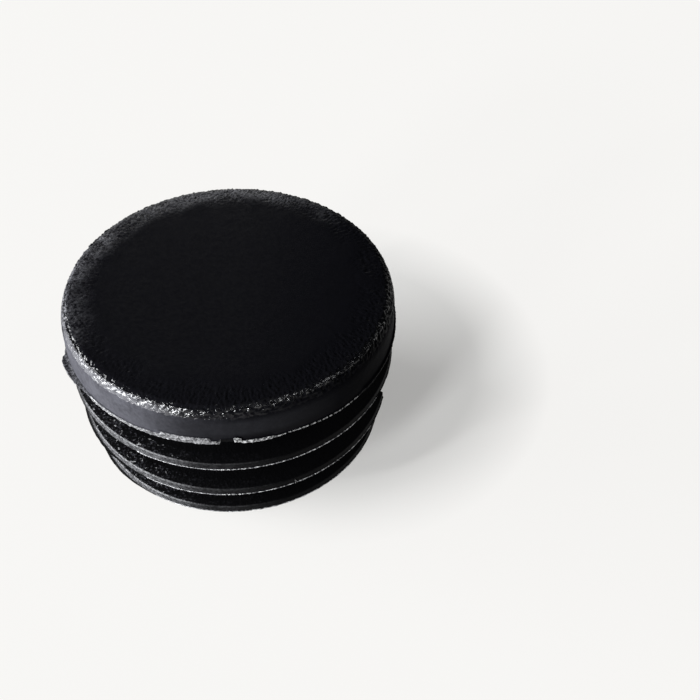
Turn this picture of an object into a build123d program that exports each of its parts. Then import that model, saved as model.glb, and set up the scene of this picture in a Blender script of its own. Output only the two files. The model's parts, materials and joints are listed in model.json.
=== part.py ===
from build123d import *
from math import cos, radians, sin, tan
import os

# Tube end cap, moulded in one piece: a round head, a hollow spigot and three flexible fins.
# Millimetres. +Z runs along the axis, from the open end (z = 0) up to the head.

# ---- head: covers the tube's end face ----
HEAD_DIAMETER = 32.0
HEAD_THICKNESS = 3.95
HEAD_SIDE_DRAFT = 1.5  # degrees, towards the outer face
SHOULDER_RADIUS = 3.0  # long, slack curve that leads the side into the edge
SHOULDER_TURN = 32.0  # degrees turned by the shoulder, counted from upright
EDGE_RADIUS = 0.7  # tighter curve that runs out into the flat face

# ---- flash lip: thin skirt squeezed out at the parting line, under the head's side ----
LIP_REACH = 0.25
LIP_THICKNESS = 0.3
TAB_REACH = 0.6  # widest patch of flash
TAB_START, TAB_END = -158.0, -141.0  # degrees round the axis
GAP_START, GAP_END = -88.5, -82.5  # torn-out stretch of the lip

# ---- spigot: tube that goes into the bore ----
SPIGOT_LENGTH = 15.75
SPIGOT_DIAMETER = 23.1
WALL_AT_MOUTH = 1.5
HOLLOW_DRAFT = 0.75  # degrees, narrowing towards the head
HEAD_FLOOR_THICKNESS = 2.4  # solid head left over the hollow
HOLLOW_END_BEVEL = 0.7
SEAT_ROOT_BEVEL = 0.4

# ---- fins: from the open end to the head, each a little wider than the one before ----
FIN_DIAMETERS = (29.3, 30.8, 31.7)
FIN_EDGE_HEIGHTS = (3.4, 7.2, 11.6)  # lower corner of each fin's land
FIN_LAND = 0.75
FIN_SLOPE_DROP = 0.4  # how far the leading flank falls from land to root

# ---- gate: stub left where the plastic was injected, inside the hollow ----
GATE_DIAMETER = 1.6
GATE_HEIGHT = 0.45

HEAD_RADIUS = HEAD_DIAMETER / 2
SPIGOT_RADIUS = SPIGOT_DIAMETER / 2
OVERALL_HEIGHT = SPIGOT_LENGTH + HEAD_THICKNESS
HOLLOW_DEPTH = OVERALL_HEIGHT - HEAD_FLOOR_THICKNESS
ROOT_OVERLAP = 0.6  # how far fins and lip are sunk into what carries them


def on_circle(radius, angle, centre=(0, 0)):
    return (centre[0] + radius * cos(radians(angle)), centre[1] + radius * sin(radians(angle)))


def arc(centre, radius, start, end):
    """Arc of a circle between two angles, in degrees."""
    ends = [on_circle(radius, angle, centre) for angle in (start, (start + end) / 2, end)]
    return ThreePointArc(*ends)


def turned(outline):
    """Solid of revolution about Z from an outline drawn in the XZ plane."""
    return revolve(Plane.XZ * make_face(outline), Axis.Z)


def head():
    """Disc with a drafted side whose shoulder and edge are two tangent arcs."""
    shoulder_rise = SHOULDER_RADIUS * (sin(radians(SHOULDER_TURN)) - sin(radians(HEAD_SIDE_DRAFT)))
    edge_rise = EDGE_RADIUS * (1 - sin(radians(SHOULDER_TURN)))
    side_height = HEAD_THICKNESS - shoulder_rise - edge_rise
    side_top = (
        HEAD_RADIUS - side_height * tan(radians(HEAD_SIDE_DRAFT)),
        SPIGOT_LENGTH + side_height,
    )
    shoulder_centre = on_circle(-SHOULDER_RADIUS, HEAD_SIDE_DRAFT, side_top)
    shoulder = arc(shoulder_centre, SHOULDER_RADIUS, HEAD_SIDE_DRAFT, SHOULDER_TURN)
    edge_centre = on_circle(SHOULDER_RADIUS - EDGE_RADIUS, SHOULDER_TURN, shoulder_centre)
    edge = arc(edge_centre, EDGE_RADIUS, SHOULDER_TURN, 90)
    outline = [
        Line((0, SPIGOT_LENGTH), (HEAD_RADIUS, SPIGOT_LENGTH)),
        Line((HEAD_RADIUS, SPIGOT_LENGTH), shoulder @ 0),
        shoulder,
        edge,
        Line(edge @ 1, (0, OVERALL_HEIGHT)),
        Line((0, OVERALL_HEIGHT), (0, SPIGOT_LENGTH)),
    ]
    return turned(outline)


def wedge(rim):
    """Pie slice between the axis and a rim curve."""
    return make_face([rim, Line(rim @ 1, (0, 0)), Line((0, 0), rim @ 0)])


def flash_tab():
    """Patch of flash that starts abruptly and runs out along the lip."""
    middle = (TAB_START + TAB_END) / 2
    runout = ThreePointArc(
        on_circle(HEAD_RADIUS + TAB_REACH, TAB_START),
        on_circle(HEAD_RADIUS + 0.8 * TAB_REACH, middle),
        on_circle(HEAD_RADIUS + LIP_REACH, TAB_END),
    )
    return wedge(runout)


def flash_lip():
    """Flat skirt at the parting line, with its wide patch and its torn gap."""
    skirt = Circle(HEAD_RADIUS + LIP_REACH) + flash_tab()
    skirt -= wedge(arc((0, 0), HEAD_RADIUS + TAB_REACH, GAP_START, GAP_END))
    skirt += Circle(HEAD_RADIUS - ROOT_OVERLAP)
    return extrude(Plane.XY.offset(SPIGOT_LENGTH) * skirt, LIP_THICKNESS)


def spigot():
    """Round plug, still solid, with a bevelled root under the head."""
    return turned(
        Polyline(
            (0, 0),
            (SPIGOT_RADIUS, 0),
            (SPIGOT_RADIUS, SPIGOT_LENGTH - SEAT_ROOT_BEVEL),
            (SPIGOT_RADIUS + SEAT_ROOT_BEVEL, SPIGOT_LENGTH),
            (0, SPIGOT_LENGTH),
            close=True,
        )
    )


def fin(diameter, edge_height):
    """Thin disc with a straight land, a flat back and a sloped leading flank."""
    top = edge_height + FIN_LAND
    root = SPIGOT_RADIUS - ROOT_OVERLAP
    return turned(
        Polyline(
            (root, edge_height - FIN_SLOPE_DROP),
            (diameter / 2, edge_height),
            (diameter / 2, top),
            (root, top),
            close=True,
        )
    )


def hollow():
    """Drafted blind hole with a bevelled end."""
    mouth = SPIGOT_RADIUS - WALL_AT_MOUTH
    end = mouth - HOLLOW_DEPTH * tan(radians(HOLLOW_DRAFT))
    return turned(
        Polyline(
            (0, 0),
            (mouth, 0),
            (end, HOLLOW_DEPTH - HOLLOW_END_BEVEL),
            (end - HOLLOW_END_BEVEL, HOLLOW_DEPTH),
            (0, HOLLOW_DEPTH),
            close=True,
        )
    )


def gate_stub():
    """Sheared stub of the gate on the hollow's floor."""
    return Pos(Z=HOLLOW_DEPTH) * Cylinder(GATE_DIAMETER / 2, 2 * GATE_HEIGHT)


def end_cap():
    body = head() + flash_lip() + spigot()
    for diameter, edge_height in zip(FIN_DIAMETERS, FIN_EDGE_HEIGHTS):
        body += fin(diameter, edge_height)
    return body - hollow() + gate_stub()


cap = end_cap()
cap.label = "end_cap"
os.makedirs("parts", exist_ok=True)
export_step(cap, "parts/end_cap.step")
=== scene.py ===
import json
from functools import partial
from math import atan2, cos, degrees, hypot, pi, radians, sin, tan

import bpy
from mathutils import Matrix, Vector, noise


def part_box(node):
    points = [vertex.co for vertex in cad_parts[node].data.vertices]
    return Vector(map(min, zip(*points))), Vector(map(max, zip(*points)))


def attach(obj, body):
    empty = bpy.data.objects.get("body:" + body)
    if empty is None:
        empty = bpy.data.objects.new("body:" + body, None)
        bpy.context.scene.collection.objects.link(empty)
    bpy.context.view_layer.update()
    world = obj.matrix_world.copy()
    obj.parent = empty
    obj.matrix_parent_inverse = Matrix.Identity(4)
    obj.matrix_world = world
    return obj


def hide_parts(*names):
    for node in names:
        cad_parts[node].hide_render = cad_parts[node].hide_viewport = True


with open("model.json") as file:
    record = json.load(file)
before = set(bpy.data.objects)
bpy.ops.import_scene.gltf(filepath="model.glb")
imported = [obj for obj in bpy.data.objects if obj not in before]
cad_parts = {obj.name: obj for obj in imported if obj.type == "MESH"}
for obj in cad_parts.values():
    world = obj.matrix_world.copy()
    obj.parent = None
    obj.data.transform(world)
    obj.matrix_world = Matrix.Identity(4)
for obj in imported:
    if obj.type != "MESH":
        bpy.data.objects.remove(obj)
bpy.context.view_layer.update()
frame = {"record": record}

# Tube end cap in black polyethylene. Shapes are drawn in millimetres and built in metres.
MM = 0.001

# ---- sizes read from the frame, in millimetres ----
_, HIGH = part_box("end_cap")
HEIGHT = HIGH.z / MM
LIP_RADIUS = HIGH.x / MM
MOUNTS = {mount["name"]: mount for mount in frame["record"]["mounts"]}
SEAT_Z = MOUNTS["tube_end_seat"]["pos_m"][2] / MM


def fin_land(number):
    """Radius, lower height and upper height of one fin's land, in mm."""
    land = MOUNTS[f"fin_{number}_land"]
    middle, half = land["pos_m"][2] / MM, land["dims"]["length_mm"] / 2
    return land["dims"]["r_mm"], middle - half, middle + half


FINS = [fin_land(number) for number in (1, 2, 3)]  # from the open end

# ---- head: smooth drafted side, long shoulder, tight edge, flat face ----
LIP_REACH = 0.25
LIP_THICKNESS = 0.4
HEAD_RADIUS = LIP_RADIUS - LIP_REACH
SIDE_DRAFT = 1.5  # degrees
SHOULDER_RADIUS = 3.0
SHOULDER_TURN = 32.0  # degrees
EDGE_RADIUS = 0.7
FACE_CLEARANCE = 0.002  # how far the face stays under the solid's top

# ---- flash lip: degrees round the axis ----
TAB_REACH = 0.8
TAB_START, TAB_END = -158.0, -141.0
TAB_TAPER = 0.45
GAP_START, GAP_END = -87.3, -82.5
THREAD_START, THREAD_END = -71.0, -34.0
THREAD_DASH = 0.9  # length of its white dashes
THREAD_DARK = -0.1  # noise under which it stays dark between them
THREAD_PULL = 0.65  # how far the thread is drawn in towards the side
DULL_END = -136.0
BARE_START, BARE_END = 140.0, 201.0  # where nothing is left of the lip
THICK_START, THICK_END = -115.0, -87.8
THICKER = 0.16  # mm more there
HANGS = 0.26  # mm that the lip sags between its wide patch and the thread
THREAD_HANGS = 0.5  # mm that the thread sags at its far end
HANG_END = 20.0
THINNER = 0.24  # mm less along the thread
LIP_TEAR_SIZE, LIP_TEAR_DEPTH = 0.3, 0.2  # bites out of its edge
# where the flash is whitened most, partly stress-whitening and partly a painted highlight
WHITENED_START, WHITENED_END = -89.0, 20.0
BLACK_START, BLACK_END = -38.0, 60.0  # where the lip's flash is not whitened and stays black
WHISKER_AZIMUTH = -62.6  # on the second fin
WHISKER = (-0.22, 0.0, 0.6)  # mm from its root to its tip
CURL = ((-82.5, -81.9, 0.3), (-81.9, -81.3, 0.2), (-81.3, -80.6, 0.1))  # start, end, rise in mm

# ---- spigot, hollow and gate stub ----
SPIGOT_RADIUS = 11.55
WALL_AT_MOUTH = 1.5
HOLLOW_DRAFT = 0.75  # degrees
HEAD_FLOOR = 2.4
HOLLOW_CORNER = 0.7
MOUTH_BEVEL = 0.12
SEAT_ROOT = 0.4
GATE_RADIUS = 0.8
GATE_HEIGHT = 0.45

# ---- fins ----
FIN_SLOPE_DROP = 0.4
FIN_SLOPE_REACH = 0.6  # how far inside the spigot's wall the sloped flank would end
FIN_ROOT = 0.2
FIN_CORNER = 0.1
FEATHER_REACH = 0.13  # flash squeezed out at the lower corner of each land
PALE_START, PALE_END = -118.0, -25.0  # degrees; where that flash is whitened, partly stress-whitening and partly a painted highlight
NICK_START, NICK_END = -9.0, 8.0  # degrees; a nick in the second fin's rim
NICK_DEPTH = 0.6
SMEAR_START, SMEAR_END = -172.0, -122.0  # degrees; flash smeared further out on the two lower fins
SMEAR_REACH = 0.32
FEATHER_TEAR_SIZE, FEATHER_TEAR_DEPTH = 0.6, 0.12  # bites out of the flash on the fins
RIM_WIDTH = 1.3  # rim of each fin's flat back, grey with painted light towards the left

# ---- spark texture of the face and edge ----
GRAIN_START = 18.6  # height where the smooth side gives way to it
GRAIN_END = 11.7  # radius on the face where it has worn flat
WEAR_PATCH, WEAR_WANDER = 2.6, 1.4  # size of the worn patches and how far they shift that radius
FACE_SAG = 0.09  # how far the face has sunk at its rim
GRAIN_RAGGED = 0.5  # how much the line on the side wanders
GRAIN_SIZE = 0.2
GRAIN_DEPTH = 0.16
SHOULDER_SIZE, SHOULDER_DEPTH = 0.26, 0.3  # coarser and deeper where the texture runs over the edge

SEGMENTS = 480  # doubled where faces are cut in four
GRAINED_HEIGHT = 17.9  # over this the head's faces are cut in four
CREASE = 40  # degrees; faces that meet at less are shaded as one
ON_AXIS = 1e-6  # metres; closes poles and the seam


# ---------------------------------------------------------------- half-section, (radius, height) in mm
def arc(centre, radius, start, end, steps):
    """Points along an arc between two angles in degrees, the first left out."""
    angles = [radians(start + (end - start) * step / steps) for step in range(1, steps + 1)]
    return [(centre[0] + radius * cos(angle), centre[1] + radius * sin(angle)) for angle in angles]


def straight(start, end, steps):
    """Points along a line, the first left out."""
    shares = [step / steps for step in range(1, steps + 1)]
    return [tuple(a + (b - a) * share for a, b in zip(start, end)) for share in shares]


def gate_and_hollow():
    """Sheared gate stub, floor and drafted wall of the hollow, down to the open end."""
    floor = HEIGHT - HEAD_FLOOR
    mouth = SPIGOT_RADIUS - WALL_AT_MOUTH
    end = mouth - floor * tan(radians(HOLLOW_DRAFT))
    tip = floor - GATE_HEIGHT
    stub = [
        (0.0, tip + 0.05),
        (0.35, tip + 0.02),
        (0.65, tip),
        (0.76, tip + 0.04),
        (GATE_RADIUS, tip + 0.15),
        (GATE_RADIUS, floor - 0.1),
        (GATE_RADIUS + 0.1, floor),
    ]
    corner = (end - HOLLOW_CORNER, floor - HOLLOW_CORNER)
    section = stub + straight(stub[-1], (corner[0], floor), 1)
    section += arc(corner, HOLLOW_CORNER, 90, 0, 4)
    section += straight(section[-1], (mouth, MOUTH_BEVEL), 1)
    section += arc((mouth + MOUTH_BEVEL, MOUTH_BEVEL), MOUTH_BEVEL, 180, 270, 3)
    section += straight(section[-1], (SPIGOT_RADIUS - MOUTH_BEVEL, 0.0), 1)
    return section + arc((SPIGOT_RADIUS - MOUTH_BEVEL, MOUTH_BEVEL), MOUTH_BEVEL, 270, 360, 3)


def fin(radius, low, high):
    """One fin: sloped leading flank, feather of flash, land, rounded corner and flat back."""
    slope = FIN_SLOPE_DROP / (radius - SPIGOT_RADIUS + FIN_SLOPE_REACH)
    root_low = low - slope * (radius - SPIGOT_RADIUS) - FIN_ROOT
    section = [(SPIGOT_RADIUS, root_low)]
    section += arc((SPIGOT_RADIUS + FIN_ROOT, root_low), FIN_ROOT, 180, 95, 2)
    section += straight(section[-1], (radius - 0.05, low - 0.01), 1)
    section += [
        (radius + 0.02, low - 0.015),
        (radius + FEATHER_REACH, low - 0.01),
        (radius + FEATHER_REACH, low + 0.05),
        (radius + 0.3 * FEATHER_REACH, low + 0.08),
        (radius, low + 0.12),
    ]
    section += straight(section[-1], (radius, high - FIN_CORNER), 1)
    section += arc((radius - FIN_CORNER, high - FIN_CORNER), FIN_CORNER, 0, 90, 2)
    section += [(radius - RIM_WIDTH, high), (SPIGOT_RADIUS + FIN_ROOT, high)]
    return section + arc((SPIGOT_RADIUS + FIN_ROOT, high + FIN_ROOT), FIN_ROOT, 270, 180, 2)


def seat_and_lip():
    """Underside that meets the tube, and the thin lip of flash at its rim."""
    section = arc((SPIGOT_RADIUS + SEAT_ROOT, SEAT_Z - SEAT_ROOT), SEAT_ROOT, 180, 90, 3)
    section += straight(section[-1], (HEAD_RADIUS - 0.2, SEAT_Z), 1)
    top = SEAT_Z + LIP_THICKNESS
    return section + [
        (LIP_RADIUS - 0.12, SEAT_Z),
        (LIP_RADIUS - 0.03, SEAT_Z + 0.04),
        (LIP_RADIUS, SEAT_Z + 0.12),
        (LIP_RADIUS, SEAT_Z + 0.2),
        (LIP_RADIUS - 0.04, top - 0.02),
        (LIP_RADIUS - 0.12, top),
        (HEAD_RADIUS + 0.02, top - 0.01),
    ]


def head():
    """Smooth side above the lip, shoulder, edge and face, in to the axis."""
    draft = radians(SIDE_DRAFT)
    turn = radians(SHOULDER_TURN)
    rise = SHOULDER_RADIUS * (sin(turn) - sin(draft)) + EDGE_RADIUS * (1 - sin(turn))
    side_top_z = HEIGHT - rise
    side_top = (HEAD_RADIUS - (side_top_z - SEAT_Z) * tan(draft), side_top_z)
    shoulder = (side_top[0] - SHOULDER_RADIUS * cos(draft), side_top[1] - SHOULDER_RADIUS * sin(draft))
    reach = SHOULDER_RADIUS - EDGE_RADIUS
    edge = (shoulder[0] + reach * cos(turn), shoulder[1] + reach * sin(turn) - FACE_SAG)
    junction = SEAT_Z + LIP_THICKNESS
    section = [(HEAD_RADIUS - 0.03, junction - 0.01), (HEAD_RADIUS - 0.02, junction + 0.05)]
    section += straight(section[-1], side_top, 4)
    section += arc(shoulder, SHOULDER_RADIUS, SIDE_DRAFT, SHOULDER_TURN, 8)
    section += arc(edge, EDGE_RADIUS, SHOULDER_TURN, 90, 4)
    face = HEIGHT - FACE_CLEARANCE
    rim = section[-1][0]
    for radius, _ in straight((rim, 0), (GRAIN_END, 0), 11):
        section.append((radius, face - FACE_SAG * ((radius - GRAIN_END) / (rim - GRAIN_END)) ** 2))
    return section + straight(section[-1], (0.0, face), 2)


def whole_section():
    """From the middle of the hollow's floor round the open end and the fins to the middle of the face."""
    section = gate_and_hollow()
    for land in FINS:
        ribbed = fin(*land)
        section += straight(section[-1], ribbed[0], 1) + ribbed[1:]
    section += straight(section[-1], (SPIGOT_RADIUS, SEAT_Z - SEAT_ROOT), 1)
    return section + seat_and_lip() + head()


# ---------------------------------------------------------------- modelling
def polar(point):
    """(radius, azimuth in degrees, height) in mm of a point in metres."""
    return hypot(point.x, point.y) / MM, degrees(atan2(point.y, point.x)), point.z / MM


def draw_section(name, section):
    """Draws the half-section by extruding one vertex along its points."""
    bpy.ops.object.select_all(action="DESELECT")
    bpy.ops.mesh.primitive_circle_add(vertices=3, radius=MM, location=(0, 0, 0))
    drawn = bpy.context.object
    drawn.name = name
    bpy.ops.object.mode_set(mode="EDIT")
    bpy.ops.mesh.select_all(action="SELECT")
    bpy.ops.mesh.merge(type="CENTER")
    bpy.ops.transform.translate(value=(section[0][0] * MM, 0, section[0][1] * MM))
    for start, end in zip(section, section[1:]):
        step = ((end[0] - start[0]) * MM, 0, (end[1] - start[1]) * MM)
        bpy.ops.mesh.extrude_vertices_move(TRANSFORM_OT_translate={"value": step})
    bpy.ops.object.mode_set(mode="OBJECT")
    return drawn


def turn_closed(drawn):
    """Turns the half-section once round the axis and closes the seam and both poles."""
    lathe = drawn.modifiers.new("lathe", "SCREW")
    lathe.axis = "Z"
    lathe.angle = 2 * pi
    lathe.steps = lathe.render_steps = SEGMENTS
    bpy.ops.object.modifier_apply(modifier=lathe.name)
    bpy.ops.object.mode_set(mode="EDIT")
    bpy.ops.mesh.select_all(action="SELECT")
    bpy.ops.mesh.remove_doubles(threshold=ON_AXIS)
    bpy.ops.mesh.normals_make_consistent(inside=False)
    bpy.ops.object.mode_set(mode="OBJECT")
    return drawn


def pick(piece, kind, chosen):
    """Selects the faces or vertices whose (radius, azimuth, height) in mm is chosen, ready for editing."""
    bpy.context.view_layer.objects.active = piece
    bpy.ops.object.mode_set(mode="EDIT")
    bpy.ops.mesh.select_mode(type=kind)
    bpy.ops.mesh.select_all(action="DESELECT")
    bpy.ops.object.mode_set(mode="OBJECT")
    if kind == "FACE":
        for face in piece.data.polygons:
            face.select = chosen(*polar(face.center))
    else:
        for vertex in piece.data.vertices:
            vertex.select = chosen(*polar(vertex.co))
    bpy.ops.object.mode_set(mode="EDIT")


def cut_in_four(piece, chosen):
    """Subdivides the chosen faces."""
    pick(piece, "FACE", chosen)
    bpy.ops.mesh.subdivide(number_cuts=1)
    bpy.ops.object.mode_set(mode="OBJECT")


def move_vertices(piece, chosen, shift):
    """Moves the chosen vertices by a shift in mm."""
    pick(piece, "VERT", chosen)
    bpy.ops.transform.translate(value=[length * MM for length in shift])
    bpy.ops.object.mode_set(mode="OBJECT")


def weigh(piece, name, weight_of):
    """Vertex group whose weights come from each vertex's (radius, azimuth, height) in mm."""
    group = piece.vertex_groups.new(name=name)
    for vertex in piece.data.vertices:
        weight = weight_of(*polar(vertex.co))
        if weight > 0:
            group.add([vertex.index], min(weight, 1.0), "REPLACE")


def apply_weighted(piece, modifier):
    """Applies a modifier and drops the vertex group that it used."""
    used = modifier.vertex_group
    bpy.ops.object.modifier_apply(modifier=modifier.name)
    piece.vertex_groups.remove(piece.vertex_groups[used])


def draw_to_radius(piece, name, radius, weight_of):
    """Moves vertices in or out to a radius in mm, each as far as its weight says."""
    weigh(piece, name, weight_of)
    ring = piece.modifiers.new(name, "CAST")
    ring.cast_type = "CYLINDER"
    ring.use_z = False
    ring.use_radius_as_size = False
    ring.radius = 0.0
    ring.size = radius * MM
    ring.factor = 1.0
    ring.vertex_group = name
    apply_weighted(piece, ring)


def roughen(piece, name, size, depth, weight_of, level=1.0):
    """Moves vertices along their normals by clouds of noise. Where the noise stays under the level they
    sink, so that a level of 1 only eats away."""
    texture = bpy.data.textures.new(name, "CLOUDS")
    texture.noise_scale = size * MM
    weigh(piece, name, weight_of)
    push = piece.modifiers.new(name, "DISPLACE")
    push.texture = texture
    push.texture_coords = "LOCAL"
    push.mid_level = level
    push.strength = depth * MM
    push.vertex_group = name
    apply_weighted(piece, push)


def lift(piece, name, rise, weight_of):
    """Raises vertices by up to so many millimetres."""
    weigh(piece, name, weight_of)
    push = piece.modifiers.new(name, "DISPLACE")
    push.direction = "Z"
    push.mid_level = 0.0
    push.strength = rise * MM
    push.vertex_group = name
    apply_weighted(piece, push)


# ---------------------------------------------------------------- where each shape is worked
def stretch(azimuth, start, end, fade_in, fade_out):
    """1 along a stretch of the rim, fading to 0 towards both ends over so many degrees."""
    return max(0.0, min(1.0, (azimuth - start) / fade_in, (end - azimuth) / fade_out))


def lip_share(radius, height):
    """How far out on the lip a point lies: 0 at the head's side, 1 at the lip's edge."""
    if not SEAT_Z - 0.001 < height < SEAT_Z + LIP_THICKNESS + 0.001:
        return 0.0
    return max(0.0, (radius - HEAD_RADIUS) / LIP_REACH)


def by_lip(radius, height, inwards, low):
    """At the lip: from so far inside the head's side outwards, and from so far over the seat to its top."""
    return radius > HEAD_RADIUS - inwards and SEAT_Z + low < height < SEAT_Z + LIP_THICKNESS + 0.1


def tab_along(azimuth):
    """How far along the wide patch of flash an azimuth lies, from 0 to 1."""
    return (azimuth - TAB_START) / (TAB_END - TAB_START)


def tab_weight(radius, azimuth, height):
    """The wide patch of flash: blunt at its start, running out along the lip."""
    along = tab_along(azimuth)
    if not 0 <= along <= 1:
        return 0.0
    return lip_share(radius, height) * (1 - along) ** TAB_TAPER * min(1.0, along / 0.14) ** 0.5


def gap_weight(radius, azimuth, height):
    """The stretch where the lip was torn away."""
    return 1.0 if lip_share(radius, height) > 0.2 and GAP_START < azimuth < GAP_END else 0.0


def thread_weight(radius, azimuth, height):
    """The stretch where only a thread of the lip is left."""
    if lip_share(radius, height) == 0:
        return 0.0
    return THREAD_PULL * stretch(azimuth, THREAD_START, THREAD_END, 0.8, 0.8)


def bare_weight(radius, azimuth, height):
    """The stretch behind and to the left where nothing is left of the lip."""
    if lip_share(radius, height) == 0:
        return 0.0
    return stretch(azimuth % 360, BARE_START, BARE_END, 8, 0.8)


def ragged_lip_weight(radius, azimuth, height):
    """All of the lip, most at its edge."""
    return lip_share(radius, height)


def thick_lip_weight(radius, azimuth, height):
    """The top of the lip where it is thickest."""
    on_top = by_lip(radius, height, 0.1, 0.5 * LIP_THICKNESS)
    return stretch(azimuth, THICK_START, THICK_END, 10, 3) if on_top else 0.0


def low_lip_weight(radius, azimuth, height):
    """The top of the lip where only a thread of it is left."""
    on_top = by_lip(radius, height, 0.1, 0.5 * LIP_THICKNESS)
    return stretch(azimuth, THREAD_START, THREAD_END, 3, 3) if on_top else 0.0


def hanging_weight(radius, azimuth, height):
    """The lip from its wide patch to the thread, but for the torn gap."""
    if not by_lip(radius, height, 0.15, -0.01) or GAP_START < azimuth < GAP_END:
        return 0.0
    return stretch(azimuth, TAB_START - 2, THREAD_START + 12, 2, 10)


def hanging_thread_weight(radius, azimuth, height):
    """The thread of the lip, more and more towards its far end."""
    at_lip = by_lip(radius, height, 0.15, -0.01)
    return stretch(azimuth, THREAD_START, HANG_END, 25, 30) if at_lip else 0.0


def nick_weight(radius, azimuth, height):
    """The nick in the second fin's rim."""
    fin_radius, low, high = FINS[1]
    near = radius > fin_radius - 0.3 and low - 0.125 < height < high + 0.125
    return 1.0 if near and NICK_START < azimuth < NICK_END else 0.0


def smear_weight(land, radius, azimuth, height):
    """The flash at the lower corner of one land, where it is smeared furthest."""
    fin_radius, low, _ = land
    if radius < fin_radius + 0.015 or abs(height - low) > 0.08:
        return 0.0
    return stretch(azimuth, SMEAR_START, SMEAR_END, 8, 14)


def feather_weight(radius, azimuth, height):
    """The flash at the lower corner of each land."""
    near = any(radius > fin_radius + 0.01 and abs(height - low) < 0.08 for fin_radius, low, _ in FINS)
    return 1.0 if near else 0.0


def grain_weight(radius, azimuth, height):
    """Full on the edge, ragged where it ends on the side, fading out across the face."""
    if radius < GRAIN_END or height < GRAIN_START - GRAIN_RAGGED:
        return 0.0
    turn = radians(azimuth)
    wander = noise.noise(Vector((4 * turn * radius, height, 0))) * GRAIN_RAGGED
    along = Vector((radius * cos(turn), radius * sin(turn), 0)) / WEAR_PATCH
    inner = GRAIN_END + WEAR_WANDER * max(0.0, 2 * noise.noise(along))
    return max(0.0, min(1.0, (height - GRAIN_START - wander) / 0.45, (radius - inner) / 1.9))


def shoulder_weight(radius, azimuth, height):
    """The band of the grain that runs over the edge."""
    return grain_weight(radius, azimuth, height) * max(0.0, min(1.0, (HEIGHT - height - 0.12) / 0.25))


# ---------------------------------------------------------------- materials
def linear(hex_colour):
    """sRGB hex colour as linear RGBA."""
    channels = [int(hex_colour[start:start + 2], 16) / 255 for start in (1, 3, 5)]
    return [c / 12.92 if c <= 0.04045 else ((c + 0.055) / 1.055) ** 2.4 for c in channels] + [1.0]


def add_node(tree, kind, inputs=(), **settings):
    """Adds a node. Settings are its properties. Inputs are given by name, or in order for the live ones;
    each is a value, a socket, or a node that stands for its first live output."""
    added = tree.nodes.new("ShaderNode" + kind)
    for name, value in settings.items():
        setattr(added, name, value)
    if isinstance(inputs, dict):
        fed = [(added.inputs[name], value) for name, value in inputs.items()]
    else:
        fed = zip([socket for socket in added.inputs if socket.enabled], inputs)
    for socket, value in fed:
        if isinstance(value, bpy.types.Node):
            value = next(output for output in value.outputs if output.enabled)
        if isinstance(value, bpy.types.NodeSocket):
            tree.links.new(value, socket)
        else:
            socket.default_value = value
    return added


def new_material(name):
    """An empty node material, what adds nodes to it, and a place on the piece in metres."""
    material = bpy.data.materials.new(name)
    material.use_nodes = True
    material.node_tree.nodes.clear()
    node = partial(add_node, material.node_tree)
    return material, node, node("TexCoord").outputs["Object"]


def direction(azimuth, elevation):
    """Unit vector towards an azimuth in degrees, counted from +X, and a height above the horizon."""
    flat = cos(radians(elevation))
    return Vector((flat * cos(radians(azimuth)), flat * sin(radians(azimuth)), sin(radians(elevation))))


def per_mm(size):
    """Texture scale of a pattern that repeats every so many millimetres."""
    return 1 / (size * MM)


IOR = 1.51  # polyethylene
SHEEN = 0.03  # the mould's finest texture, too fine to draw, scatters most of the mirror reflection
DEEP_BLACK = linear("#0A0A0D")
BLACK = linear("#09090A")
# painted shade: a black darker than the face's, for the grooves and all the grained parts
SHADE_BLACK = linear("#060607")
# painted light: the grey of the side and the fin rims where light falls from the left
LIT_GREY = linear("#414146")
# painted light: a paler grey on the front-left edge, the far left and the lip's wide patch
LIT_PALE_GREY = linear("#545458")
# painted light: the grey of the lands towards the light
LIT_LAND_GREY = linear("#58585A")
# painted highlight: a light line along the lands' upper corners
CORNER_HIGHLIGHT_GREY = linear("#7A7A7C")
CRUMB = linear("#A6A6A8")
# painted sheen: grey on the grain's tips along the back
BACK_SHEEN_GREY = linear("#68686C")
# painted glints: the palest of the grain's tips along the back
GLINT_GREY = linear("#9C9C9E")
UNTORN = linear("#2C2C2F")
# whitened flash: partly stress-whitening, partly a painted highlight
PINCHED_GREY_AND_HIGHLIGHT = linear("#8E8E90")
TORN_WHITE_AND_HIGHLIGHT = linear("#CCCCCC")
LIVELY_X = -2.0  # mm; where the grain's gloss is strongest
BACK_SHEEN_AZIMUTH = 130.0  # degrees; where the grain's tips carry a painted grey sheen
GLINT_AZIMUTH = -80.0  # degrees; where the edge glints


def narrowed(node, share, *spans):
    """A share times a ramp for each span: what the ramp follows, where it starts and ends, and from which
    value to which it runs, 0 to 1 if they aren't given."""
    for span in spans:
        share = node("Math", (share, node("MapRange", span)), operation="MULTIPLY")
    return share


def left_lit_share(node, place, full, faint, front_share, last, bare):
    """How much painted light the plastic's colour carries, for light falling from the left: fully to the
    left (-X), by the front's share between two places on the X axis in mm, and none to the right of two
    more, where painted shade leaves it black."""
    sideways = node("SeparateXYZ", [place]).outputs["X"]
    left = (sideways, full * MM, faint * MM, 1.0, front_share)
    left = node("MapRange", left, interpolation_type="SMOOTHSTEP")
    right = node("MapRange", (sideways, last * MM, bare * MM, 0.0, front_share))
    return node("Math", (left, right), operation="SUBTRACT")


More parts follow.
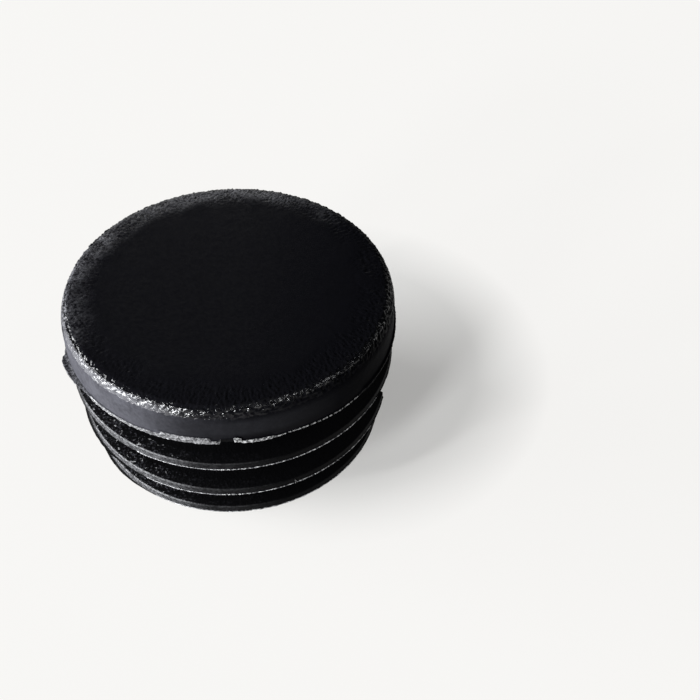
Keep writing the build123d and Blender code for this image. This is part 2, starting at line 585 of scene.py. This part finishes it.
def head_ldpe():
    """Black low-density polyethylene off two kinds of steel. Spark-eroded steel left the face and edge with
    a sharp grain that is black face on and glints where it turns to the light. It has worn flat in the
    middle of the face; along the back its grain tips carry a painted grey sheen and painted glints. A
    stoned ring left the side smooth and semi-matt, with faint flow marks and a few dents under the grain.
    The side's grey is painted light, full to the left where the light falls and fading to black to the
    right, where it also keeps off a band of painted shade above the lip and a band under the grain. On the
    front-left edge the grain lies on a paler grey of painted light."""
    material, node, place = new_material("spark_textured_ldpe_head")
    sideways, _, height = node("SeparateXYZ", [place]).outputs
    across = node("VectorMath", (place, (1, 1, 0)), operation="MULTIPLY")
    radius = node("VectorMath", [across], operation="LENGTH")
    sheenward, frontward = [
        node("VectorMath", (place, direction(azimuth, 0)), operation="DOT_PRODUCT")
        for azimuth in (BACK_SHEEN_AZIMUTH, GLINT_AZIMUTH)
    ]
    # painted light, full to the left, and painted shade to the right
    share = left_lit_share(node, place, -8, -0.5, 0.18, 3, 12.5)
    flow, fine, ragged, wear, dent, grain, tip, patchy, speck = [
        node("TexNoise", {"Vector": place, "Scale": per_mm(size), "Detail": detail, "Roughness": rough})
        for size, detail, rough in (
            (1.3, 4.0, 0.5),
            (0.35, 3.0, 0.5),
            (0.4, 2.0, 0.5),
            (WEAR_PATCH, 2.0, 0.5),
            (0.5, 2.0, 0.5),
            (0.5 * GRAIN_SIZE, 2.0, 0.6),
            (0.3, 4.0, 0.85),
            (3.0, 3.0, 0.5),
            (0.35, 3.0, 0.8),
        )
    ]

    # where the grain is, how sharp it still is, and the stretches of the edge that look different
    line = node("Math", (ragged, GRAIN_RAGGED * MM, height), operation="MULTIPLY_ADD")
    grain_from, grain_to = GRAIN_START + 0.4 * GRAIN_RAGGED, GRAIN_START + 0.6 * GRAIN_RAGGED
    grainy = node("MapRange", (line, grain_from * MM, grain_to * MM))
    worn_line = node("Math", (wear, -2 * WEAR_WANDER * MM, radius), operation="MULTIPLY_ADD")
    inner = GRAIN_END - WEAR_WANDER
    sharp = narrowed(node, grainy, (worn_line, inner * MM, (inner + 3.2) * MM, 0.02))
    rear_edge = node("MapRange", (height, (HEIGHT - 0.1) * MM, (HEIGHT - 0.25) * MM))
    in_front = node("MapRange", (frontward, 0.0, 5 * MM))
    front_edge = narrowed(node, in_front, (height, (HEIGHT - 0.35) * MM, (HEIGHT - 0.6) * MM))
    front_left = narrowed(node, front_edge, (share, 0.17, 0.6))
    # where the painted sheen lies, along the back of the edge
    to_the_back = node("MapRange", (sheenward, 0.5 * MM, 13 * MM))
    back_sheen = narrowed(node, to_the_back, (rear_edge, 0.0, 1.0, 1.0, 0.0))

    # relief: faint waves, dents that deepen towards the grain, and the grain
    under_line = (height, (GRAIN_START - 1.8) * MM, GRAIN_START * MM)
    dents = narrowed(node, dent, under_line, (grainy, 0.0, 1.0, 2.0, 0.0))
    dents = node("Math", (dents, flow), operation="ADD")
    waves = node("Bump", {"Height": dents, "Distance": 0.03 * MM, "Strength": 1.0})
    grain = node("Math", (grain, sharp), operation="MULTIPLY")
    grain = narrowed(node, grain, (back_sheen, 0.0, 1.0, 0.1, 0.3))
    bump = {"Height": grain, "Distance": GRAIN_DEPTH * MM, "Strength": 1.0, "Normal": waves}

    # colour: the side's grey of painted light, black grain on a paler grey of painted light on the front
    # edge, and painted grey sheen and glints on the grain tips along the back
    mottled = node("Math", (flow, fine), operation="ADD")
    lit_mottle = narrowed(node, share, (mottled, 0.7, 1.2, 0.6))
    # painted shade: to the right the side's grey keeps off a band above the lip and a band under the grain
    unshaded_band = narrowed(
        node,
        node("MapRange", (height, (SEAT_Z + 0.5) * MM, (SEAT_Z + 1.0) * MM)),
        (height, (GRAIN_START - 0.1) * MM, (GRAIN_START - 0.6) * MM),
    )
    to_the_left = node("MapRange", (sideways, -1 * MM, 3.5 * MM, 1.0, 0.0))
    unshaded_band = node("Math", (unshaded_band, to_the_left), operation="MAXIMUM")
    # painted light: the side's grey, full to the left
    lit_side = node("Math", (lit_mottle, unshaded_band), operation="MULTIPLY")
    side = node("Mix", (lit_side, DEEP_BLACK, LIT_GREY), data_type="RGBA")
    # painted light: a paler grey under the grain of the front-left edge
    lit_pale = node("Mix", (lit_mottle, DEEP_BLACK, LIT_PALE_GREY), data_type="RGBA")
    spark = node("Mix", (front_left, DEEP_BLACK, lit_pale), data_type="RGBA")
    tips = node("Math", (flow, 0.5, tip), operation="MULTIPLY_ADD")
    # painted sheen on the grain's tips along the back
    grey = narrowed(
        node,
        node("Math", (back_sheen, sharp), operation="MULTIPLY"),
        (patchy, 0.38, 0.58, 0.35),
        (worn_line, 10.8 * MM, 13.4 * MM),
        (tips, 0.66, 0.84),
    )
    spark = node("Mix", (grey, spark, BACK_SHEEN_GREY), data_type="RGBA")
    # painted glints on the palest tips
    palest = narrowed(node, grey, (tips, 0.88, 0.98))
    spark = node("Mix", (palest, spark, GLINT_GREY), data_type="RGBA")
    colour = node("Mix", (grainy, side, spark), data_type="RGBA")
    # grey specks of painted light along the far left of the edge
    specks = node("MapRange", (speck, 0.47, 0.57, 0.08))
    speckled = node("Mix", (specks, DEEP_BLACK, LIT_PALE_GREY), data_type="RGBA")
    far_left = narrowed(
        node,
        node("MapRange", (sideways, -14.2 * MM, -14.8 * MM)),
        (frontward, 5.5 * MM, 3.5 * MM),
        (height, (HEIGHT - 0.1) * MM, (HEIGHT - 0.3) * MM),
    )
    colour = node("Mix", (far_left, colour, speckled), data_type="RGBA")

    # gloss: strongest on the front left and along the crest of the front edge, dull at the far sides and
    # along the rear edge
    aside = node("Math", (sideways, LIVELY_X * MM), operation="SUBTRACT")
    aside = node("Math", [aside], operation="ABSOLUTE")
    dull_rear = narrowed(node, rear_edge, (frontward, 0.0, -8 * MM))
    lively = node("MapRange", (aside, 8 * MM, 13 * MM, 1.0, 0.15))
    lively = narrowed(node, lively, (dull_rear, 0.0, 1.0, 1.0, 0.1))
    keen = node("MapRange", (share, 0.1, 0.4, 0.3, 0.65))
    keen = node("MapRange", (front_edge, 0.0, 1.0, 0.36, keen))
    patches = narrowed(
        node, lively, (fine, 0.35, 0.65, 0.12, keen), (sideways, 1 * MM, 6 * MM, 1.0, 0.4)
    )
    crest = narrowed(
        node,
        in_front,
        (sideways, -2 * MM, 4 * MM, 0.0, 1.4),
        (height, (HEIGHT - 0.1) * MM, (HEIGHT - 0.2) * MM),
        (height, (HEIGHT - 0.5) * MM, (HEIGHT - 0.35) * MM),
        (fine, 0.4, 0.6, 0.1),
        (aside, 8 * MM, 14 * MM, 1.0, 0.35),
    )
    patches = node("Math", (patches, crest), operation="MAXIMUM")
    sheen = node("Math", (lively, SHEEN), operation="MULTIPLY")
    polish = node("MapRange", (front_left, 0.0, 1.0, 0.14, 0.23))
    polish = node("MapRange", (sharp, 0.0, 1.0, 0.27, polish))
    shader = {
        "Base Color": colour,
        "Roughness": node("MapRange", (grainy, 0.0, 1.0, 0.5, polish)),
        "IOR": IOR,
        "Specular IOR Level": node("MapRange", (grainy, 0.0, 1.0, sheen, patches)),
        "Normal": node("Bump", bump),
    }
    node("OutputMaterial", {"Surface": node("BsdfPrincipled", shader)})
    return material


def grained_ldpe(name, lit_colour, grain_size, bare=0.43, least=0.0, far_left=1.0, crumbed=0.0):
    """The same polyethylene off blasted steel: dull, with a fine even grain in mm that breaks up every
    highlight. Its black is darker than the head's, painted shade. It takes the lit colour, painted light
    that is full to the left and none to the right, where the grain's noise is over the bare value and by
    the least share elsewhere, less at the far left; crumbs of flash are left on it where that is asked."""
    material, node, place = new_material(name)
    sideways = node("SeparateXYZ", [place]).outputs["X"]
    grain, crumb = [
        node("TexNoise", {"Vector": place, "Scale": per_mm(size), "Detail": 2.0, "Roughness": rough})
        for size, rough in ((grain_size, 0.7), (0.36, 0.5))
    ]
    # painted light, full to the left, and painted shade to the right
    share = left_lit_share(node, place, -6.5, -1.0, 0.14, 0, 6)
    lit_mottle = narrowed(
        node, share, (grain, bare, bare + 0.22, least), (sideways, -13.4 * MM, -12.6 * MM, far_left)
    )
    # crumbs of flash, a few more towards the painted light on the left
    crumbs = node("Math", (share, 0.15, crumb), operation="MULTIPLY_ADD")
    crumbs = narrowed(node, crumbed, (crumbs, 0.79, 0.89))
    # black of painted shade, with the lit colour over it
    colour = node("Mix", (lit_mottle, SHADE_BLACK, lit_colour), data_type="RGBA")
    shader = {
        "Base Color": node("Mix", (crumbs, colour, CRUMB), data_type="RGBA"),
        "Roughness": 0.5,
        "IOR": IOR,
        "Specular IOR Level": SHEEN,
        "Normal": node("Bump", {"Height": grain, "Distance": 0.25 * grain_size * MM, "Strength": 1.0}),
    }
    node("OutputMaterial", {"Surface": node("BsdfPrincipled", shader)})
    return material


def flash_ldpe(name, white, low, high):
    """Feather-thin flash of the same polyethylene, whitened partly by pinching and tearing and partly as a
    painted highlight: none where the tear noise is under the low value, all over the high one."""
    material, node, place = new_material(name)
    torn = node("TexNoise", {"Vector": place, "Scale": per_mm(0.22), "Detail": 3.0, "Roughness": 0.7})
    whitened = node("MapRange", (torn, low, high))
    shader = {
        "Base Color": node("Mix", (whitened, UNTORN, white), data_type="RGBA"),
        "Roughness": 0.35,
        "IOR": IOR,
        "Normal": node("Bump", {"Height": torn, "Distance": 0.05 * MM, "Strength": 1.0}),
    }
    node("OutputMaterial", {"Surface": node("BsdfPrincipled", shader)})
    return material


# ---------------------------------------------------------------- which faces get which material
def paint_faces(piece, material, chosen):
    """Gives a material to the faces whose centre's (radius, azimuth, height) in mm is chosen."""
    piece.data.materials.append(material)
    slot_number = len(piece.data.materials) - 1
    for face in piece.data.polygons:
        if chosen(*polar(face.center)):
            face.material_index = slot_number


def on_grained_head(radius, azimuth, height):
    """Faces that the grain needs cut finer: the shoulder, the edge and the outer part of the face."""
    return height > GRAINED_HEIGHT and radius > GRAIN_END


def on_lip(radius, azimuth, height):
    """Faces of the flash lip."""
    return lip_share(radius, height) > 0


def on_head(radius, azimuth, height):
    """Faces above the lip."""
    return height > SEAT_Z + LIP_THICKNESS - 0.02


def on_feather(radius, azimuth, height):
    """Faces of the flash at the lower corner of a fin's land."""
    return any(radius > fin_radius + 0.005 and abs(height - low) < 0.1 for fin_radius, low, _ in FINS)


def on_land(radius, azimuth, height):
    """Faces of the fins' lands."""
    return any(
        abs(radius - fin_radius) < 0.06 and low + 0.015 < height < high - 0.015
        for fin_radius, low, high in FINS
    )


def on_land_corner(radius, azimuth, height):
    """Faces of the lands' upper corner."""
    return any(
        abs(radius - fin_radius + 0.04) < 0.05 and high - FIN_CORNER < height < high
        for fin_radius, _, high in FINS
    )


def on_fin_rim(radius, azimuth, height):
    """Faces of the outer ring of each fin's flat back."""
    return any(
        fin_radius - RIM_WIDTH < radius < fin_radius - FIN_CORNER and abs(height - high) < 0.01
        for fin_radius, _, high in FINS
    )


def on_whisker_root(radius, azimuth, height):
    """Flash of the second fin round the whisker."""
    _, low, high = FINS[1]
    near = low - 0.225 < height < high + 0.225 and abs(azimuth - WHISKER_AZIMUTH) < 0.8
    return near and on_feather(radius, azimuth, height)


def on_whisker_tip(radius, azimuth, height):
    """Outermost vertices of that flash, which are drawn out into the whisker."""
    fin_radius, low, high = FINS[1]
    near = low - 0.225 < height < high + 0.225 and abs(azimuth - WHISKER_AZIMUTH) < 0.19
    return near and radius > fin_radius + 0.06


def on_curl(start, end, radius, azimuth, height):
    """Vertices of the lip's outer part on one stretch of its curl."""
    return lip_share(radius, height) > 0.3 and start < azimuth < end


def on_dull_lip(radius, azimuth, height):
    """Faces of the lip's wide patch and what follows it, where it isn't whitened."""
    return TAB_START - 1 < azimuth < DULL_END and lip_share(radius, height) > 0.02


def on_lip_edge(radius, azimuth, height):
    """Faces of the thin lip, and only the very edge of its wide patch."""
    if not SEAT_Z < height < SEAT_Z + LIP_THICKNESS + 0.01 or BLACK_START < azimuth < BLACK_END:
        return False
    dash = noise.noise(Vector((azimuth / THREAD_DASH, 0, 0)))
    if THREAD_START < azimuth < THREAD_END and dash < THREAD_DARK:
        return False
    along = tab_along(azimuth)
    plain = (TAB_REACH - 0.08) * (1 - along) ** TAB_TAPER if 0 <= along <= 1 else 0.05
    return radius > HEAD_RADIUS + max(0.05, plain)


def on_flash(radius, azimuth, height):
    """Faces of the lip's edge, and of the fins' flash where it is whitened, partly as a painted highlight.
    """
    if on_lip_edge(radius, azimuth, height):
        return True
    return PALE_START < azimuth < PALE_END and on_feather(radius, azimuth, height)


def on_torn_flash(radius, azimuth, height):
    """Faces of that flash where it is whitened most, partly as a painted highlight."""
    return WHITENED_START < azimuth < WHITENED_END and on_flash(radius, azimuth, height)


# ---------------------------------------------------------------- the cap
cap = turn_closed(draw_section("end_cap_moulding", whole_section()))
cut_in_four(cap, on_grained_head)
cut_in_four(cap, on_lip)
draw_to_radius(cap, "tab", HEAD_RADIUS + TAB_REACH, tab_weight)
draw_to_radius(cap, "gap", HEAD_RADIUS - 0.01, gap_weight)
draw_to_radius(cap, "thread", HEAD_RADIUS, thread_weight)
draw_to_radius(cap, "bare_stretch", HEAD_RADIUS + 0.01, bare_weight)
draw_to_radius(cap, "nick", FINS[1][0] - NICK_DEPTH, nick_weight)
cap.data.materials.append(grained_ldpe("matt_ldpe_spigot", BLACK, 0.2))
# lands grey with painted light towards the left
lands = grained_ldpe("scuffed_ldpe_lands", LIT_LAND_GREY, 0.25, bare=0.41, least=0.2, far_left=0.35)
# the lands' upper corners: a painted highlight, fuller to the left
corners = grained_ldpe("rubbed_ldpe_corners", CORNER_HIGHLIGHT_GREY, 0.3, bare=0.38, least=0.3, far_left=0.35)
for material, chosen in (
    (lands, on_land),
    # the fins' rims: grey of painted light to the left, with crumbs of flash
    (grained_ldpe("scuffed_ldpe_rims", LIT_GREY, 0.25, bare=0.54, crumbed=1.0), on_fin_rim),
    (head_ldpe(), on_head),
    (corners, on_land_corner),
    # whitened flash on the lip's edge and the fins: partly a painted highlight
    (flash_ldpe("pinched_ldpe_flash", PINCHED_GREY_AND_HIGHLIGHT, 0.42, 0.62), on_flash),
    (flash_ldpe("torn_ldpe_flash", TORN_WHITE_AND_HIGHLIGHT, 0.46, 0.6), on_torn_flash),
):
    paint_faces(cap, material, chosen)
cut_in_four(cap, on_whisker_root)
move_vertices(cap, on_whisker_tip, WHISKER)
# the lip's wide patch: grey of painted light, fuller to the left
paint_faces(cap, grained_ldpe("rubbed_ldpe_lip", LIT_PALE_GREY, 0.25, least=0.2), on_dull_lip)
for start, end, rise in CURL:
    move_vertices(cap, partial(on_curl, start, end), (0.0, 0.0, rise))
roughen(cap, "ragged_lip", LIP_TEAR_SIZE, LIP_TEAR_DEPTH, ragged_lip_weight)
lift(cap, "thick_lip", THICKER, thick_lip_weight)
lift(cap, "low_lip", -THINNER, low_lip_weight)
lift(cap, "hanging_lip", -HANGS, hanging_weight)
lift(cap, "hanging_thread", -THREAD_HANGS, hanging_thread_weight)
for land in FINS[:2]:
    draw_to_radius(cap, "smear", land[0] + SMEAR_REACH, partial(smear_weight, land))
roughen(cap, "ragged_feather", FEATHER_TEAR_SIZE, FEATHER_TEAR_DEPTH, feather_weight)
roughen(cap, "spark_grain", GRAIN_SIZE, GRAIN_DEPTH, grain_weight, level=0.8)
roughen(cap, "shoulder_grain", SHOULDER_SIZE, SHOULDER_DEPTH, shoulder_weight, level=0.5)
bpy.ops.object.select_all(action="DESELECT")
cap.select_set(True)
bpy.context.view_layer.objects.active = cap
bpy.ops.object.shade_smooth_by_angle(angle=radians(CREASE))
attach(cap, "root")
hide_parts("end_cap")


# ---------------------------------------------------------------- floor, light and camera
FRONT_AZIMUTH = -80.0  # degrees; the side that the camera is on
CEILING_ELEVATION = 65.0
CEILING = 0.08  # radiance; 1 is a white wall at the floor's level
HORIZON = 0.045
DARK_WALL = 0.03
COOL = (0.97, 0.985, 1.0)
BACK_AZIMUTH = 112.0
BACK_WALL = 1.3
BOARD = "#626261"
BOARD_LIT = "#E3E2DF"
BOARD_WHITE = "#F7F6F4"
BACKDROP = "#F6F6F5"
SHADOW_CENTRE = (9.3, 9.2, 0.0)  # mm; the cap's shadow falls to the right and behind
SHADOW_CORE, SHADOW_RIM = 16.7, 25.3  # mm from that centre
SHADOW_NEAR, SHADOW_FAR = 0.68, 0.07  # how much of the board's light is its own in and outside the shadow
LENS_MM = 52.43  # on a 36 mm wide sensor
CAMERA_MM = (12.79, -71.65, 85.47)
CAMERA_DOWN, CAMERA_YAW, CAMERA_ROLL = 46.014, 0.859, 1.083  # degrees


def floor():
    """Matt board. To the camera and in reflections it is white and keeps the cap's shadow."""
    bpy.ops.mesh.primitive_plane_add(size=6.0, location=(0, 0, -0.01 * MM))
    board = bpy.context.object
    board.name = "floor"
    material, node, place = new_material("matt_board")
    away = node("VectorMath", (place, Vector(SHADOW_CENTRE) * MM), operation="DISTANCE")
    depth = node("MapRange", (away, SHADOW_CORE * MM, SHADOW_RIM * MM, SHADOW_NEAR, SHADOW_FAR))
    white = node("Emission", {"Color": linear(BOARD_WHITE), "Strength": 1.0})
    shown = node("MixShader", (depth, white, node("BsdfDiffuse", {"Color": linear(BOARD_LIT)})))
    path = node("LightPath").outputs
    seen = path["Is Camera Ray"]
    for ray in ("Is Glossy Ray", "Is Transmission Ray"):
        seen = node("Math", (seen, path[ray]), operation="MAXIMUM")
    both = node("MixShader", (seen, node("BsdfDiffuse", {"Color": linear(BOARD)}), shown))
    node("OutputMaterial", {"Surface": both})
    board.data.materials.append(material)


def soft_light(name, azimuth, elevation, distance, width, height, power):
    """Rectangular diffused lamp that faces the cap."""
    lamp = bpy.data.lights.new(name, "AREA")
    lamp.shape = "RECTANGLE"
    lamp.size, lamp.size_y = width, height
    lamp.energy = power
    lamp.color = COOL
    placed = bpy.data.objects.new(name, lamp)
    bpy.context.scene.collection.objects.link(placed)
    towards = direction(azimuth, elevation)
    placed.location = towards * distance
    placed.rotation_euler = towards.to_track_quat("Z", "Y").to_euler()


def surroundings():
    """A dim room with a pale ceiling to the front and a light wall behind, low down; plain white to the
    camera."""
    world = bpy.data.worlds.new("dim_room")
    bpy.context.scene.world = world
    world.use_nodes = True
    world.node_tree.nodes.clear()
    node = partial(add_node, world.node_tree)
    way = node("TexCoord").outputs["Generated"]
    up = node("SeparateXYZ", [way]).outputs["Z"]
    towards = direction(FRONT_AZIMUTH, CEILING_ELEVATION)
    overhead = node("VectorMath", (way, towards), operation="DOT_PRODUCT")
    ceiling = (overhead, 0.4, 0.95, DARK_WALL, CEILING)
    ceiling = node("MapRange", ceiling, interpolation_type="SMOOTHSTEP")
    low_down = node("MapRange", (up, 0.15, 0.5, 1.0, 0.0), interpolation_type="SMOOTHSTEP")
    back = node("VectorMath", (way, direction(BACK_AZIMUTH, 0.0)), operation="DOT_PRODUCT")
    wall = node("MapRange", (back, 0.2, 0.85, HORIZON, BACK_WALL))
    wall = node("Math", (low_down, wall), operation="MULTIPLY")
    room = node("Math", (ceiling, wall), operation="ADD")
    seen = node("LightPath").outputs["Is Camera Ray"]
    shown = node("Mix", (seen, room, linear(BACKDROP)), data_type="RGBA")
    node("OutputWorld", {"Surface": node("Background", {"Color": shown})})


def camera():
    """Camera over the front, a little to the right, looking down at the cap."""
    lens = bpy.data.cameras.new("camera")
    lens.lens = LENS_MM
    lens.sensor_width = 36.0
    lens.clip_start = 0.005
    placed = bpy.data.objects.new("camera", lens)
    bpy.context.scene.collection.objects.link(placed)
    placed.matrix_world = (
        Matrix.Translation(Vector(CAMERA_MM) * MM)
        @ Matrix.Rotation(radians(CAMERA_YAW), 4, "Z")
        @ Matrix.Rotation(radians(90 - CAMERA_DOWN), 4, "X")
        @ Matrix.Rotation(radians(CAMERA_ROLL), 4, "Z")
    )
    bpy.context.scene.camera = placed


floor()
soft_light("window", azimuth=-178, elevation=13, distance=1.5, width=1.3, height=0.55, power=75)
soft_light("lamp", azimuth=-146, elevation=14, distance=1.2, width=0.08, height=0.08, power=7)
soft_light("doorway", azimuth=-126, elevation=14, distance=1.4, width=0.26, height=0.2, power=25)
soft_light("shelf_lamp", azimuth=-24, elevation=53, distance=1.2, width=0.75, height=0.07, power=2.0)
surroundings()
camera()
bpy.context.scene.view_settings.view_transform = "Standard"
